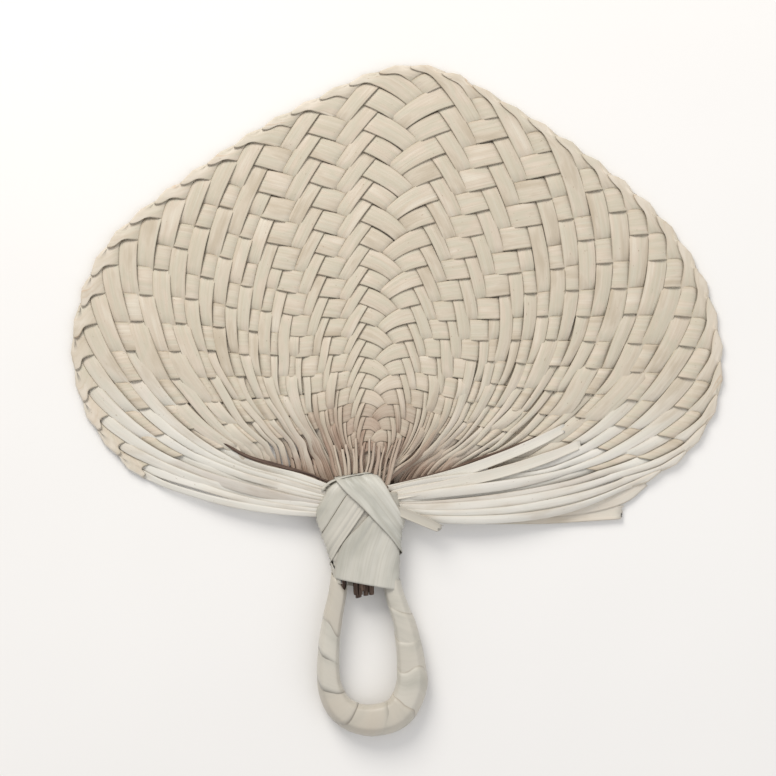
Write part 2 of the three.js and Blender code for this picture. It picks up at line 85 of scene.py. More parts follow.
class Finish:  # one material and the nodes it is wired from
    def __init__(self, name, **fixed):
        self.material = bpy.data.materials.new(name)
        self.material.use_nodes = True
        self.tree = self.material.node_tree
        self.shader = self.tree.nodes["Principled BSDF"]
        self.set(**fixed)

    def node(self, kind, settings=None, sockets=None, out=0):
        made = self.tree.nodes.new(kind)
        for key, value in (settings or {}).items():
            if key == "stops":  # a ramp's colours along it
                while len(made.color_ramp.elements) < len(value):
                    made.color_ramp.elements.new(1.0)
                for element, (place, colour) in zip(made.color_ramp.elements, value):
                    element.position = place
                    element.color = (*colour, 1.0)
            else:
                setattr(made, key, value)
        for key, value in (sockets or {}).items():
            self.feed(made.inputs[key], value)
        return Wire(self, made.outputs[out])

    def feed(self, socket, value):
        if isinstance(value, Wire):
            self.tree.links.new(value.socket, socket)
        elif isinstance(value, tuple) and socket.type == "RGBA":
            socket.default_value = (*value, 1.0)
        else:
            socket.default_value = value

    def attribute(self, name, out="Vector"):
        return self.node("ShaderNodeAttribute", {"attribute_name": name}, out=out)

    def split(self, vector):
        return [self.node("ShaderNodeSeparateXYZ", sockets={0: vector}, out=k) for k in range(3)]

    def noise(self, vector, scale=1.0, detail=3.0):
        return self.node("ShaderNodeTexNoise", sockets={
            "Vector": vector, "Scale": scale, "Detail": detail, "Roughness": 0.55})

    def fibres(self, place, stretch, detail=3.0):  # stretch across, along and from piece to piece
        scaled = {k: wire * stretch[k] for k, wire in enumerate(place)}
        return self.noise(self.node("ShaderNodeCombineXYZ", sockets=scaled), detail=detail)

    def tones(self, value, stops):
        return self.node("ShaderNodeValToRGB", {"stops": stops}, {0: self.ramp(value, 0.25, 0.75)})

    def ramp(self, value, low, high, first=0.0, last=1.0):  # value between low and high, mapped smoothly
        return self.node("ShaderNodeMapRange", {"interpolation_type": "SMOOTHSTEP"}, {
            "Value": value, "From Min": low, "From Max": high, "To Min": first, "To Max": last})

    def blend(self, factor, first, second):
        sockets = {"Factor": factor, 6: first, 7: second}
        return self.node("ShaderNodeMix", {"data_type": "RGBA"}, sockets, out=2)

    def set(self, **wires):
        for socket, value in wires.items():
            self.feed(self.shader.inputs[socket.replace("_", " ")], value)

    def bump(self, height, distance, strength):
        self.set(Normal=self.node("ShaderNodeBump", sockets={
            "Height": height, "Distance": distance, "Strength": strength}))
        return self.material


def srgb(red, green, blue):  # colour read from 0 to 255, as the shader's linear values
    return tuple(((c / 255 + 0.055) / 1.055) ** 2.4 for c in (red, green, blue))


# Leaf finishes

def leafParts(finish, s):  # what the leaf and the ribbon are both wired from
    place = finish.split(finish.attribute("leafPlace"))
    marks = finish.split(finish.attribute("leafTone"))
    edge = finish.attribute("leafEdge", out="Fac")
    fine = finish.fibres(place, s["fine"], 4.0)
    ribs = finish.fibres(place, s["ribs"], 2.0)
    drift = finish.fibres(place, s["drift"])
    finish.set(Roughness=finish.ramp(fine, 0.3, 0.7, *s["roughness"]))
    return place, marks, abs(edge), fine, ribs, drift, finish.tones(drift, s["tones"])


leafFinish = {
    "tones": [(0.0, srgb(187, 175, 155)), (0.3, srgb(204, 193, 175)), (0.55, srgb(197, 190, 171)),
              (0.8, srgb(206, 193, 175)), (1.0, srgb(213, 204, 187))],
    "brown": srgb(163, 140, 122),
    "deepBrown": srgb(116, 94, 78),
    "pale": srgb(224, 222, 214),
    "rim": srgb(214, 204, 188),
    "rimTouch": srgb(186, 140, 92),
    "edge": srgb(176, 158, 130),
    "speck": srgb(128, 98, 66),
    "roughness": (0.5, 0.78),
    "fine": (2.6, 0.035, 3.7),
    "ribs": (0.9, 0.012, 5.1),
    "drift": (0.12, 0.03, 9.3),
    "patch": (0.3, 0.09, 2.3),
    "specks": (1.4, 0.5, 1.3),
}


def leafMaterial():
    s = leafFinish
    leaf = Finish("dry_palm_leaf", Specular_IOR_Level=0.35, Sheen_Weight=0.12, Sheen_Roughness=0.4)
    place, (brown, pale, rim), edge, fine, ribs, drift, tone = leafParts(leaf, s)
    tone = leaf.blend(leaf.ramp(ribs, 0.3, 0.75, 0.0, 0.22), tone, s["edge"])
    tone = leaf.blend(leaf.ramp(fine, 0.35, 0.75, 0.0, 0.2), tone, s["edge"])
    tone = leaf.blend(pale * leaf.ramp(drift, 0.2, 0.6, 0.3, 0.75), tone, s["pale"])
    patch = leaf.ramp(leaf.fibres(place, s["patch"]), 0.3, 0.7)
    tone = leaf.blend(brown * (0.5 + patch * 0.4), tone, s["brown"])
    tone = leaf.blend(brown * brown * leaf.ramp(fine, 0.45, 0.75) * 0.6, tone, s["deepBrown"])
    tone = leaf.blend(rim * leaf.ramp(patch, 0.1, 0.9, 0.25, 0.8), tone, s["rim"])
    tone = leaf.blend(rim * leaf.ramp(ribs, 0.6, 0.8, 0.0, 0.5), tone, s["rimTouch"])
    tone = leaf.blend(leaf.ramp(edge, 0.78, 1.0) * 0.22, tone, s["edge"])
    specks = leaf.fibres(place, s["specks"], 1.0)
    tone = leaf.blend(leaf.ramp(specks, 0.74, 0.8, 0.0, 0.5), tone, s["speck"])
    leaf.set(Base_Color=tone)
    return leaf.bump(fine * 0.6 + ribs, 0.0003, 0.5)


ribbonFinish = {
    "tones": [(0.0, srgb(169, 168, 157)), (0.5, srgb(192, 190, 179)), (1.0, srgb(206, 203, 192))],
    "warm": srgb(187, 177, 161),
    "line": srgb(157, 152, 137),
    "darkerBorders": srgb(138, 126, 108),
    "roughness": (0.36, 0.55),
    "fine": (2.2, 0.02, 3.1),
    "ribs": (0.7, 0.008, 4.7),
    "drift": (0.08, 0.03, 8.9),
}


def ribbonMaterial():
    s = ribbonFinish
    ribbon = Finish("leaf_ribbon", Specular_IOR_Level=0.45, Sheen_Weight=0.2, Sheen_Roughness=0.35)
    _, (warm, calm, _), edge, fine, ribs, drift, tone = leafParts(ribbon, s)
    tone = ribbon.blend(ribbon.ramp(fine, 0.4, 0.8, 0.0, 0.25) * (1.0 - calm), tone, s["line"])
    tone = ribbon.blend(ribbon.ramp(ribs, 0.4, 0.75, 0.0, 0.4) * (1.0 - calm), tone, s["line"])
    tone = ribbon.blend(warm * ribbon.ramp(drift, 0.2, 0.8, 0.5, 1.0), tone, s["warm"])
    # darker towards the ribbon borders, in patches along them
    darkerBorders = ribbon.ramp(edge, 0.9, 1.0) * ribbon.ramp(drift, 0.3, 0.7, 0.15, 0.6)
    tone = ribbon.blend(darkerBorders, tone, s["darkerBorders"])
    ribbon.set(Base_Color=tone)
    return ribbon.bump(fine * 0.5 + ribs * 0.8, 0.0003, 0.4)


# brown stalk tones darkened further: partly the stalk's own brown, partly painted shade for the cut stems and
# the stalks under the plait
stalkBrownAndShade = {
    "tones": [(0.0, srgb(60, 48, 43)), (0.5, srgb(88, 72, 63)), (1.0, srgb(122, 102, 88))],
    "fibre": (1.8, 0.06, 3.3),
}


def stalkMaterial():
    stalk = Finish("dry_stalk_and_painted_shade", Roughness=0.82, Specular_IOR_Level=0.2)
    place = stalk.split(stalk.attribute("leafPlace"))
    fibre = stalk.fibres(place, stalkBrownAndShade["fibre"], 4.0)
    stalk.set(Base_Color=stalk.tones(fibre, stalkBrownAndShade["tones"]))
    return stalk.bump(fibre, 0.0004, 0.7)


leafSkin = leafMaterial()
ribbonSkin = ribbonMaterial()
stalkSkin = stalkMaterial()
print("finishes wired")


# Meshes made of rings

def addObject(name, data):
    made = bpy.data.objects.new(name, data)
    scene.collection.objects.link(made)
    return made


def pieceFromRings(name, rings, place, tone, edge, skin, nodes):
    index = np.arange(rings[..., 0].size).reshape(rings.shape[:2])
    nextSide = np.roll(index, -1, axis=1)
    quads = np.stack([index[:-1], index[1:], nextSide[1:], nextSide[:-1]], axis=-1).reshape(-1, 4)
    faces = quads.tolist() + [index[0].tolist(), index[-1][::-1].tolist()]
    mesh = bpy.data.meshes.new(name)
    mesh.from_pydata((rings.reshape(-1, 3) * mm).tolist(), [], faces)
    for label, values in (("leafPlace", place), ("leafTone", tone)):
        spread = np.broadcast_to(values, rings.shape).astype(np.float32)
        mesh.attributes.new(label, "FLOAT_VECTOR", "POINT").data.foreach_set("vector", spread.ravel())
    spread = np.broadcast_to(edge, rings.shape[:2]).astype(np.float32)
    mesh.attributes.new("leafEdge", "FLOAT", "POINT").data.foreach_set("value", spread.ravel())
    mesh.polygons.foreach_set("use_smooth", np.ones(len(faces), bool))
    mesh.update()
    if meshVolume(mesh) < 0:
        mesh.flip_normals()
    mesh.materials.append(skin)
    piece = addObject(name, mesh)
    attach(piece, "root")
    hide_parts(*nodes)


def meshVolume(mesh):
    mesh.calc_loop_triangles()
    corners = np.array([v.co for v in mesh.vertices])
    triangles = np.array([t.vertices for t in mesh.loop_triangles])
    a, b, c = (corners[triangles[:, k]] for k in range(3))
    return np.einsum("ij,ij->i", a, np.cross(b, c)).sum() / 6


def unit(vectors):
    return vectors / np.maximum(np.linalg.norm(vectors, axis=-1, keepdims=True), 1e-9)


def runLength(points):  # distance along a row of points
    return join([[0], np.cumsum(np.linalg.norm(np.diff(points, axis=0), axis=1))])


def together(*values):  # values spread to one shape, as the parts of vectors
    return np.stack(np.broadcast_arrays(*values), axis=-1)


def smoothStep(value, low, high):
    share = np.clip((value - low) / (high - low), 0, 1)
    return share * share * (3 - 2 * share)


def wander(length, step, seed):  # slow random drift between -1 and 1 along a piece
    draws = seeded(seed).uniform(-1, 1, 200)
    place = np.asarray(length) / step
    before = np.floor(place).astype(int) % 199
    share = smoothStep(place - np.floor(place), 0, 1)
    return draws[before] * (1 - share) + draws[before + 1] * share


def pathWander(path, step, seed):
    return wander(np.arange(len(path)), step, seed)


def smoothPath(points, steps, beyond=1.0):  # a curve through points; beyond 0 turns less at its ends
    points = np.asarray(points, float)
    first, final = points[:1] - points[1:2], points[-1:] - points[-2:-1]
    ends = join([points[:1] + beyond * first, points, points[-1:] + beyond * final])
    t = np.linspace(0, len(points) - 1, steps + 1)
    k = np.minimum(t.astype(int), len(points) - 2)
    f = (t - k)[:, None]
    a, b, c, d = (ends[k + j] for j in range(4))
    return 0.5 * (2 * b + (c - a) * f + (2 * a - 5 * b + 4 * c - d) * f ** 2
                  + (3 * b - a - 3 * c + d) * f ** 3)


def sideOf(path):  # level direction across a path
    run = unit(np.gradient(path[:, :2], axis=0))
    return together(run[:, 1], -run[:, 0], 0.0)


def curveAt(places, known, points):  # places along a row of points, whose own places are known
    return together(*(np.interp(places, known, column) for column in np.transpose(points)))


# The net that the strips of the blade follow, in millimetres

blade = {
    "stripCount": 38,
    "netCentre": (3.0, 42.0),
    "hiddenRows": 13,
    "rowGrowth": 1.5,
    "sideGrowth": 2.6,
    "turnPower": 0.8,
    "rimSqueeze": 0.0145,  # the cells beside the fold are flattened along the rim
    "squeezeRange": (0.6, 0.97),
    "herringboneHalfWidth": 11,
    "footHalfWidth": 8,
    "footRows": 1,
    "footFloat": 4,
    "footShift": 2,
    "neckHeight": 8.0,
    "rimHeight": 1.6,
    "droopPower": 1.3,
    "rim": [(-112, 40), (-131, 59), (-143, 83.5), (-145, 116), (-129, 155.5), (-89, 189.5), (-33, 224.5),
            (24.5, 245), (77, 222), (132, 183.5), (162, 149.5), (175.5, 113.5), (175, 78.5), (159, 51.5),
            (133, 35)],
    "rimSteps": 1599,
}
count = blade["stripCount"]
last = count - 1
netCentre = np.array(blade["netCentre"])
rimCurve = smoothPath(blade["rim"], blade["rimSteps"], 0.0)
rimLengths = runLength(rimCurve)
rimLength = rimLengths[-1]


def rimPoint(share):
    inside = np.clip(share, 0, 1)
    point = curveAt(inside * rimLength, rimLengths, rimCurve)
    first, final = unit(rimCurve[1] - rimCurve[0]), unit(rimCurve[-1] - rimCurve[-2])
    beyond = ((share - inside) * rimLength)[..., None]
    return point + np.where(beyond < 0, first, final) * beyond


def reachAt(u, v):
    reach = (u + v + blade["hiddenRows"]) / (count + blade["hiddenRows"])
    first, most = blade["squeezeRange"]
    nearFold = smoothStep(reach, first, most) * (1 - smoothStep(reach, most, 1.0))
    return reach + blade["rimSqueeze"] * nearFold


def netPoint(u, v):
    reach = np.maximum(reachAt(u, v), 0.01)
    turn = (v - u) / (reach ** blade["turnPower"] * count)
    growth = blade["rowGrowth"] + blade["sideGrowth"] * turn ** 2
    return netCentre + (reach ** growth)[..., None] * (rimPoint((turn + 1) / 2) - netCentre)


def netHeight(u, v):
    inward = np.clip(1 - reachAt(u, v), 0, 1)
    return blade["rimHeight"] + (blade["neckHeight"] - blade["rimHeight"]) * inward ** blade["droopPower"]


def legPoint(lean, along, across):  # right-leaning legs run along v, left-leaning ones along u
    return netPoint(across, along) if lean == "right" else netPoint(along, across)


def legSlopes(lean, along, across):
    step = 0.05
    forward = (legPoint(lean, along + step, across) - legPoint(lean, along - step, across)) / (2 * step)
    sideways = (legPoint(lean, along, across + step) - legPoint(lean, along, across - step)) / (2 * step)
    return forward, sideways


def rightOver(u, v):  # long floats at the foot, herringbone in the middle, two over one at the sides
    offset = u - v
    fromRim = last - u - v
    if fromRim == 1:
        return False
    if min(u, v) < blade["footRows"] and abs(offset) > blade["footHalfWidth"]:
        dips = fromRim % blade["footFloat"] == min(u, v) * blade["footShift"]
        return not dips if offset > 0 else dips
    if offset > blade["herringboneHalfWidth"]:
        return (fromRim + 2) % 3 != 0
    if offset < -blade["herringboneHalfWidth"]:
        return (fromRim + 1) % 3 == 0
    if offset == 0:
        return u % 2 == 0
    return (offset - 1) % 4 >= 2 if offset > 0 else (-offset - 1) % 4 < 2


def legLayer(lean, row, index):
    over = rightOver(index, row) if lean == "right" else not rightOver(row, index)
    return 1.0 if over else -1.0


# Strips of the blade

strip = {
    "thickness": 0.26,
    "lift": 0.72,  # height of a strip above or below the middle of the plait
    "arch": 0.5,  # extra rise in the middle of a float
    "cup": 0.18,  # how far the borders hang below the middle
    "lap": -0.32,  # the border on the side of the collar is held up over the neighbour
    "rimLap": -0.3,  # more so beside the fold
    "tilt": 0.24,
    "sway": 0.05,  # sideways drift, in strips
    "footSway": 0.4,
    "neighbourGap": -0.9,  # neighbours lap over each other
    "widthShares": (0.55, 1.13),  # least and most of the room that a strip takes up
    "widthPlay": 0.1,
    "rowSteps": 5,
    "turnLength": 3.2,  # length over which a strip dives from over to under
    "longestTurn": 0.46,  # as a share of a cell
    "fullCell": 6.0,  # smaller cells are plaited flatter
    "flattest": 0.55,
    "foldSteps": 5,
    "foldBulge": 0.35,
    "foldRise": 0.6,
    "foldStep": 0.4,
    "section": [-1.0, -0.9, -0.45, 0.0, 0.45, 0.9, 1.0],
    "underside": [0.9, 0.0, -0.9],
    "edgeThinning": 0.35,
    "footRise": 0.5,
    "footBreadths": [0.7, 0.85, 1.0, 1.2, 1.5],
    "breadthStrips": (2, 8),  # counted from the middle
    "breadthRows": (2, 8),  # counted from the foot
    "gatherRows": (0.0, 2.5),
    "looseStrips": (6, 12),
    "looseRows": (2, 6),
    "footLap": 0.9,
    "floorGap": 0.1,
    "scallop": (0.7, 1.9),  # the fold stands out in its middle and draws in at its corners
    "scallopPlay": (0.6, 1.3),
    "shortStrips": 3,  # strips on each side that end under the plait, nearest the middle
    "shortRows": 5,
    "extraRows": ([0, 4, 12], [3, 3, 0]),  # legs near the middle are plaited further down
}
lead = {
    "outerStart": 29,  # from this strip on the free ends lie side by side over the others
    "innerCount": 13,  # those nearest the middle come straight down, narrow and brown
    "steps": 18,
    "start": 1.2,
    "entryCentre": (-1.5, 24.0),
    "entryHalfSize": (16.0, 12.5),
    "marks": [-5, 6, 13, 29, 38],  # strips counted from the middle, with their angles at the collar
    "entryAngles": [-14, 16, 36, 42, 104],
    "spokeAngles": [-6, 14, 40, 68, 93],
    "startPull": [0.4, 0.5, 0.5, 0.36, 0.27],
    "endPull": 0.38,
    "behindMarks": [13, 29],  # the ones between go down steeply and end behind the outer ones
    "behindEnds": {"right": [(-9.5, 35.0), (-56.0, 44.0)], "left": [(8.5, 34.5), (62.0, 45.5)]},
    "behindAngles": [16, 58],
    # painted shade: brown added to the ends of the behind strips, for the dark hollow along the lip
    "behindPaintedShade": 0.5,
    "outerBrowns": [0.0, 0.0, 0.0, 0.1, 0.3],
    "lap": 0.62,
    "sag": {"right": -1.0, "left": 4.0},  # how far the lowest ends hang down on either side
    "play": (0.55, 1.2),
    "usualLength": 60,
    "drift": 1.2,
    "steepest": 0.4,
    "flattest": 0.1,
}
freeEnds = {  # height is at the collar, settle the share of the length to reach its own width
    "inner": {"width": 2.2, "endWidth": 1.9, "height": -1.0, "hump": 0.0, "cup": 0.3,
              "unevenness": 0.8, "settle": 0.18, "pale": 0.0},
    "behind": {"width": 2.9, "endWidth": 2.7, "height": -5.0, "hump": -0.3, "cup": 0.3,
               "unevenness": 0.8, "settle": 0.18, "pale": 0.25},
    "outer": {"width": 5.8, "endWidth": 4.2, "height": 1.9, "hump": 1.3, "cup": 0.16,
              "unevenness": 0.75, "settle": 0.45, "pale": 1.0},
}
footTone = {
    "centre": (1.0, 42.0),
    "stretch": (0.7, 1.0),
    "range": (14, 50),  # brown up to the first distance, none beyond the second
    "strips": (0.5, 1.6),
}
sectionTop = np.array(strip["section"])
sectionAll = join([sectionTop, strip["underside"]])
topCount = len(sectionTop)
turnedOver = [*range(topCount)][::-1] + [*range(topCount, len(sectionAll))][::-1]  # order past the fold


def footBreadth(index, seed):
    breadth = seeded(seed + 41).choice(strip["footBreadths"])
    share = 0.0 if leadKind(index) == "outer" else smoothStep(index, *strip["breadthStrips"])
    return 1 + (breadth - 1) * share


def firstRow(index):
    return -int(round(np.interp(index, *strip["extraRows"])))


def leadRay(lean, across, marks, angles):  # direction away from the collar
    turn = np.radians(np.interp(across, lead[marks], lead[angles]))
    side = -1 if lean == "right" else 1
    return together(side * np.sin(turn), np.cos(turn))


def leadPoint(lean, share, across, row, kind):
    rows = np.full_like(across, row)
    forward, _ = legSlopes(lean, rows, across)
    down = -unit(forward)
    start = legPoint(lean, rows, across) + down * lead["start"]
    straight = (1 - smoothStep(across, 0, 10))[..., None]
    down = unit(down * (1 - straight) + np.array([0.0, -1.0]) * straight)
    if kind == "behind":
        entry = curveAt(across, lead["behindMarks"], lead["behindEnds"][lean])
        spoke = leadRay(lean, across, "behindMarks", "behindAngles")
    else:
        entry = leadRay(lean, across, "marks", "entryAngles") * lead["entryHalfSize"] + lead["entryCentre"]
        spoke = leadRay(lean, across, "marks", "spokeAngles")
    span = np.linalg.norm(entry - start, axis=-1, keepdims=True)
    pull = np.interp(across, lead["marks"], lead["startPull"])[..., None]
    a, b = start + down * span * pull, entry + spoke * span * lead["endPull"]
    s = np.asarray(share)[..., None]
    hang = smoothStep(across / count, 0.75, 1.0)[..., None] * s * (1 - s)
    sag = lead["sag"][lean] * hang * np.array([0.0, -4.0])
    return (1 - s) ** 3 * start + 3 * s * (1 - s) ** 2 * a + 3 * s ** 2 * (1 - s) * b + s ** 3 * entry + sag


def leadKind(index):
    if index >= lead["outerStart"]:
        return "outer"
    return "inner" if index < lead["innerCount"] else "behind"


def plaitRise(layers, begin, foldRow, ends, cellLength):  # over or under, and the arch of a float
    rise, arch = np.zeros((2, len(ends)))
    for k, place in enumerate(ends):
        row = min(math.floor(place), foldRow)
        rise[k] = layers[row]
        nearest = int(round(place))
        if begin < nearest <= foldRow and layers[nearest] != layers[nearest - 1]:
            reach = min(strip["turnLength"] / cellLength[k] / 2, strip["longestTurn"])
            swing = math.sin(np.clip((place - nearest) / reach, -1, 1) * math.pi / 2)
            rise[k] = layers[nearest - 1] * (1 - swing) / 2 + layers[nearest] * (1 + swing) / 2
        before, after = row, row
        while before > begin and layers[before - 1] == layers[row]:
            before -= 1
        while after < foldRow and layers[after + 1] == layers[row]:
            after += 1
        share = (place - before) / (after + 1 - before)  # how far along its float a place lies
        arch[k] = layers[row] * math.sin(math.pi * min(max(share, 0), 1))
    return rise, arch


def legRings(lean, index, seed, lastRow=None):  # a leg up to the fold, or up to a row where it ends
    s = strip
    begin = firstRow(index)
    foldRow = last - index if lastRow is None else lastRow
    layers = {row: legLayer(lean, row, index) for row in range(begin, foldRow)}
    layers[foldRow] = -1.0 if lean == "right" or lastRow is not None else 1.0
    rows = begin + np.arange(0, (foldRow - begin) * s["rowSteps"] + 1) / s["rowSteps"]
    folds = np.linspace(0, 1, s["foldSteps"] + 1)[1:] if lastRow is None else np.zeros(0)
    centre = index + 0.5
    ends = join([rows, np.full(len(folds), float(foldRow))])
    forward, sideways = legSlopes(lean, ends, centre)
    cellLength = np.linalg.norm(forward, axis=-1)
    width = np.abs(forward[:, 0] * sideways[:, 1] - forward[:, 1] * sideways[:, 0]) / cellLength
    play = 1 - s["widthPlay"] * (0.5 + 0.5 * wander(ends * 6.0 + 60, 17.0, seed))
    breadth = (footBreadth(index, seed) - 1) * (1 - smoothStep(ends, *s["breadthRows"]))
    half = np.clip((width - s["neighbourGap"]) / width, *s["widthShares"]) / 2 * play * (1 + breadth)
    gathered = (1 - smoothStep(ends, *s["gatherRows"])) * (leadKind(index) == "outer")
    sway = s["sway"] * wander(ends + 10, 3.1, seed + 11) * smoothStep(foldRow - ends, 0.5, 3)
    if leadKind(index) != "outer":  # gaps open between the strips at the foot
        loose = smoothStep(ends - begin, 0, 1.2) * (1 - smoothStep(ends, *s["looseRows"]))
        loose = loose * smoothStep(index, *s["looseStrips"])
        sway = sway + s["footSway"] * loose * wander(ends + 30, 1.7, seed + 17)
    across = centre + sway[:, None] + half[:, None] * sectionAll[None, :]
    foldShare = join([np.zeros(len(rows)), folds])[:, None]
    along = ends[:, None] + foldShare * (count - across - foldRow)
    rise, arch = plaitRise(layers, begin, foldRow, ends, cellLength)
    xy = legPoint(lean, along, across)
    middle = netHeight(along, across)
    fine = np.clip(cellLength / s["fullCell"], s["flattest"], 1.0)
    raised = gathered * s["footRise"] + breadth * s["footLap"]
    z = middle + (fine * (rise * s["lift"] + arch * s["arch"]) + raised)[:, None]
    tilt = s["lap"] + s["tilt"] * wander(ends + 10, 2.3, seed + 7)
    tilt = tilt + s["rimLap"] * smoothStep(ends, foldRow - 1.2, foldRow - 0.3)
    z = z + fine[:, None] * (tilt[:, None] * sectionAll - s["cup"] * sectionAll ** 2)
    leg = {"xy": xy, "z": z, "length": runLength(xy[:, 3]), "half": width * half}
    return leg, ends + foldShare[:, 0] * 0.5


def leadRings(lean, index, seed, startHalf, startHeight):
    kind = leadKind(index)
    s = freeEnds[kind]
    draw = seeded(seed + 21)
    centre = index + 0.5
    shares = np.linspace(0, 1, lead["steps"] + 1)
    along = shares * lead["usualLength"]
    step = 0.25
    upper, lower, middle = (leadPoint(lean, shares, np.full_like(shares, centre + d), firstRow(index), kind)
                            for d in (step, -step, 0.0))
    tangent = unit(np.gradient(middle, axis=0))
    normal = together(-tangent[:, 1], tangent[:, 0])
    spread = np.einsum("ij,ij->i", upper - lower, normal) / (2 * step)
    side = np.where(spread < 0, -1.0, 1.0)[:, None] * normal  # towards the strips further out
    pitch = np.maximum(np.abs(spread), 0.3)
    drift = wander(along, 21.0, seed + 9) * smoothStep(shares, 0, 0.3)
    middle = middle + side * (lead["drift"] * drift * (1 - shares))[:, None]
    play = footBreadth(index, seed) if kind == "behind" else draw.uniform(*lead["play"])
    settled = smoothStep(shares, 0, s["settle"])
    target = startHalf * 2 + (s["width"] * play - startHalf * 2) * settled
    target = target + (s["endWidth"] * play - target) * smoothStep(shares, 0.6, 1)
    target = target * (1 + 0.1 * wander(along, 17.0, seed + 3))
    offset = target[:, None] / 2 * sectionAll[None, :]
    xy = middle[:, None, :] + side[:, None, :] * offset[..., None]
    height = startHeight * (1 - shares) + (blade["neckHeight"] + s["height"]) * shares
    height = height + s["hump"] * np.sin(math.pi * shares)
    uneven = draw.uniform(-1, 1) * np.sin(math.pi * shares) + 0.6 * wander(along, 15.0, seed + 13)
    height = height + s["unevenness"] * uneven * smoothStep(shares, 0, 0.25)
    slope = np.clip(lead["lap"] / pitch, lead["flattest"], lead["steepest"])
    slope = slope * smoothStep(centre, 3, 10) + 0.2 * drift
    z = height[:, None] - offset * slope[:, None] - s["cup"] * sectionAll ** 2
    z = z + 0.12 * wander(along, 9.0, seed + 5)[:, None]
    return {"xy": xy, "z": z, "length": -runLength(middle), "half": target / 2}


def leafTone(xy, pale, rim, brownness):  # how brown, how pale and how much rim a place shows
    base = np.linalg.norm((xy - np.array(footTone["centre"])) * np.array(footTone["stretch"]), axis=-1)
    brown = brownness * (1 - smoothStep(base, *footTone["range"])) * (1 - 0.95 * pale)
    return together(brown, pale, rim)


def legRun(lean, index, seed, lastRow=None):  # a leg and its free end, from the free end to the rim
    leg, rows = legRings(lean, index, seed, lastRow)
    free = leadRings(lean, index, seed, leg["half"][0], leg["z"][0].mean())
    brownness = seeded(seed + 31).uniform(*footTone["strips"])
    reach = (rows + index + 0.5) / count
    kind = leadKind(index)
    pale = freeEnds[kind]["pale"]
    footward = (1 - smoothStep(rows, 0, 5)) * pale
    leg["tone"] = leafTone(leg["xy"][:, 3], footward, smoothStep(reach, 0.965, 0.99), brownness)
    free["tone"] = leafTone(free["xy"][:, 3], pale, 0.0, brownness)
    if kind == "outer":
        free["tone"][:, 0] += seeded(seed + 51).choice(lead["outerBrowns"])
    # painted shade: the behind strips turn browner towards their ends, where they pass under the lip
    if kind == "behind":
        shares = np.linspace(0, 1, len(free["tone"]))
        free["tone"][:, 0] += lead["behindPaintedShade"] * smoothStep(shares, 0.3, 0.8)
    return {key: join([free[key][:0:-1], leg[key]]) for key in leg}


def stripPiece(number):
    label = "leaf_strip_%02d" % (number + 1)
    seeds = stripDraw.integers(1, 10 ** 6, 2)
    right = legRun("right", number, seeds[0])
    left = legRun("left", last - number, seeds[1])
    turns = np.radians(np.linspace(-90, 90, strip["foldSteps"] + 2)[1:-1])
    rimXy = right["xy"][-1]
    chord = unit(rimXy[topCount - 1] - rimXy[0])
    normal = np.array([chord[1], -chord[0]])
    normal = normal * np.sign(np.dot(normal, rimXy[3] - netCentre))
    out, drawn = np.array(strip["scallop"]) * seeded(seeds[0]).uniform(*strip["scallopPlay"])
    scallop = out - drawn * sectionAll ** 2
    for leg, order in ((right, slice(None)), (left, turnedOver)):  # moves the end of the leg, rimXy with it
        for k in range(strip["foldSteps"]):
            leg["xy"][-1 - k] += normal * (scallop[order] * (1 - k / strip["foldSteps"]))[:, None]
    lowZ, highZ = right["z"][-1], left["z"][-1][turnedOver]
    bulge = strip["foldBulge"] + strip["lift"] * strip["foldRise"]
    fold = {
        "xy": np.array([rimXy + normal * bulge * math.cos(turn) for turn in turns]),
        "z": np.array([(lowZ + highZ) / 2 + (highZ - lowZ) / 2 * math.sin(turn) for turn in turns]),
        "length": right["length"][-1] + strip["foldStep"] * np.arange(1, len(turns) + 1),
        "half": np.full(len(turns), right["half"][-1]),
        "tone": np.repeat(right["tone"][-1:], len(turns), axis=0),
    }
    back = {key: values[::-1] for key, values in left.items()}
    back["xy"] = back["xy"][:, turnedOver]
    back["z"] = back["z"][:, turnedOver]
    back["length"] = fold["length"][-1] + left["length"][-1] - back["length"]
    run = {key: join([right[key], fold[key], back[key]]) for key in right}
    stripMesh("plaited_" + label, run, number * 0.731 + 0.2, [label])


def stripMesh(name, run, seed, nodes):
    rings = join([run["xy"], run["z"][..., None]], axis=-1)
    along = np.gradient(rings[:, 3], axis=0)
    sideways = rings[:, topCount - 1] - rings[:, 0]
    up = unit(np.cross(sideways, along))
    up = up * np.sign(up[0, 2] or 1)
    rings[:, :topCount] += up[:, None] * strip["thickness"] / 2
    rings[:, topCount:] -= up[:, None] * strip["thickness"] / 2
    rings[:, [0, topCount - 1]] -= up[:, None] * strip["thickness"] * strip["edgeThinning"]
    rings[..., 2] = np.maximum(rings[..., 2], strip["floorGap"])
    place = together(run["half"][:, None] * sectionAll[None], run["length"][:, None], seed)
    pieceFromRings(name, rings, place, run["tone"][:, None], sectionAll, leafSkin, nodes)


def shortStrip(lean, k):  # runs up from the collar and ends under the plait
    index = -1 - k
    lastRow = strip["shortRows"] + k
    while legLayer(lean, lastRow - 1, index) > 0:
        lastRow += 1
    seed = 5000 + 10 * k + (lean == "left")
    name = "short_%s_strip_%d" % (lean, k + 1)
    run = legRun(lean, index, seed, lastRow)
    stripMesh(name, run, 40.3 + seed * 0.37 % 7, ["stalk_bundle"])


for number in range(count):
    stripPiece(number)
for k in range(strip["shortStrips"]):
    shortStrip("right", k)
    shortStrip("left", k)
print("plaited", count, "strips")


# Collar: ribbons laid over an egg-shaped neck, drawn as seen from the front and carried round the sides

